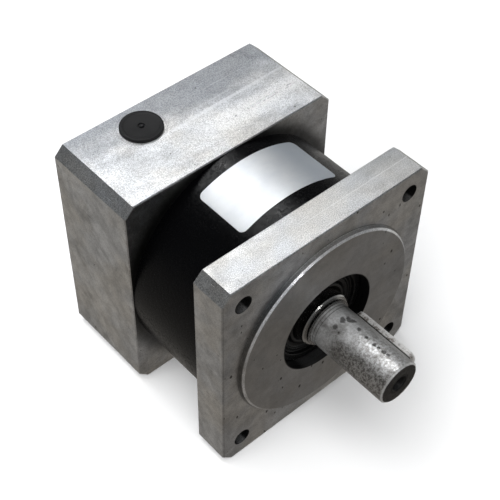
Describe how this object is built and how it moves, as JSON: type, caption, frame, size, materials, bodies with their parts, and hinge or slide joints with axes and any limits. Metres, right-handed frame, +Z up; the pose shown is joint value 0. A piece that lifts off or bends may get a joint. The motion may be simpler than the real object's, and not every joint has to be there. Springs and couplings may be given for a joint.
{
  "type": "planetary gearbox",
  "caption": "Inline planetary reduction gearbox with a square flange, round pilot, keyed output shaft, black ring gear and a clamp hub for a square-flanged motor",
  "frame": {"origin": "on the gearbox axis, in the mounting face of the output flange", "axes": "+Y along the gearbox axis from the output to the motor side, +Z up through the access plug"},
  "size_m": [0.086, 0.1165, 0.0872],
  "materials": {
    "flange_aluminium": "machined satin",
    "block_aluminium": "machined satin",
    "ring_black": "glossy black oxide on steel",
    "shaft_steel": "turned steel, worn, with small rust spots",
    "key_steel": "ground steel, worn",
    "gear_steel": "hobbed steel, oiled",
    "pin_steel": "ground steel",
    "bearing_seal": "ground steel ring with dark seals",
    "screw_black": "black oxide",
    "seal_rubber": "moulded, slightly oily",
    "plug_rubber": "moulded, semi-matte",
    "label_film": "white vinyl film, bare",
    "collar_aluminium": "turned"
  },
  "bodies": {
    "housing": {"output_flange": "flange_aluminium", "ring_gear": "ring_black", "input_housing": "block_aluminium", "tie_screws": "screw_black", "oil_seal": "seal_rubber", "front_bearing": "bearing_seal", "rear_bearing": "bearing_seal", "input_bearing": "bearing_seal", "blank_label": "label_film"},
    "output": {"output_carrier": "shaft_steel", "rear_carrier_plate": "shaft_steel", "planet_pin_1": "pin_steel", "planet_pin_2": "pin_steel", "planet_pin_3": "pin_steel", "shaft_key": "key_steel"},
    "planet_1": {"planet_gear_1": "gear_steel"},
    "planet_2": {"planet_gear_2": "gear_steel"},
    "planet_3": {"planet_gear_3": "gear_steel"},
    "input": {"input_shaft": "gear_steel", "clamp_collar": "collar_aluminium"},
    "clamp_screw": {"clamp_screw": "screw_black"},
    "access_plug": {"access_plug": "plug_rubber"}
  },
  "joints": [
    {"name": "output_turn", "type": "hinge", "parent": "housing", "child": "output", "pos_m": [0, 0, 0], "axis": [0, -1, 0], "continuous": true},
    {"name": "input_turn", "type": "hinge", "parent": "housing", "child": "input", "pos_m": [0, 0.064, 0], "axis": [0, -1, 0], "continuous": true},
    {"name": "planet_1_turn", "type": "hinge", "parent": "output", "child": "planet_1", "pos_m": [0.018, 0.0384, 0], "axis": [0, -1, 0], "continuous": true},
    {"name": "planet_2_turn", "type": "hinge", "parent": "output", "child": "planet_2", "pos_m": [-0.009, 0.0384, 0.01559], "axis": [0, -1, 0], "continuous": true},
    {"name": "planet_3_turn", "type": "hinge", "parent": "output", "child": "planet_3", "pos_m": [-0.009, 0.0384, -0.01559], "axis": [0, -1, 0], "continuous": true},
    {"name": "clamp_screw_turn", "type": "hinge", "parent": "input", "child": "clamp_screw", "pos_m": [-0.0158, 0.0718, 0], "axis": [0, 0, 1], "range_deg": [0, 720]},
    {"name": "plug_pull", "type": "slide", "parent": "housing", "child": "access_plug", "axis": [0, 0, 1], "range_m": [0, 0.006]}
  ],
  "couplings": [
    {"joint": "input_turn", "follows": "output_turn", "ratio": 10},
    {"joint": "planet_1_turn", "follows": "output_turn", "ratio": -2.25},
    {"joint": "planet_2_turn", "follows": "output_turn", "ratio": -2.25},
    {"joint": "planet_3_turn", "follows": "output_turn", "ratio": -2.25}
  ]
}
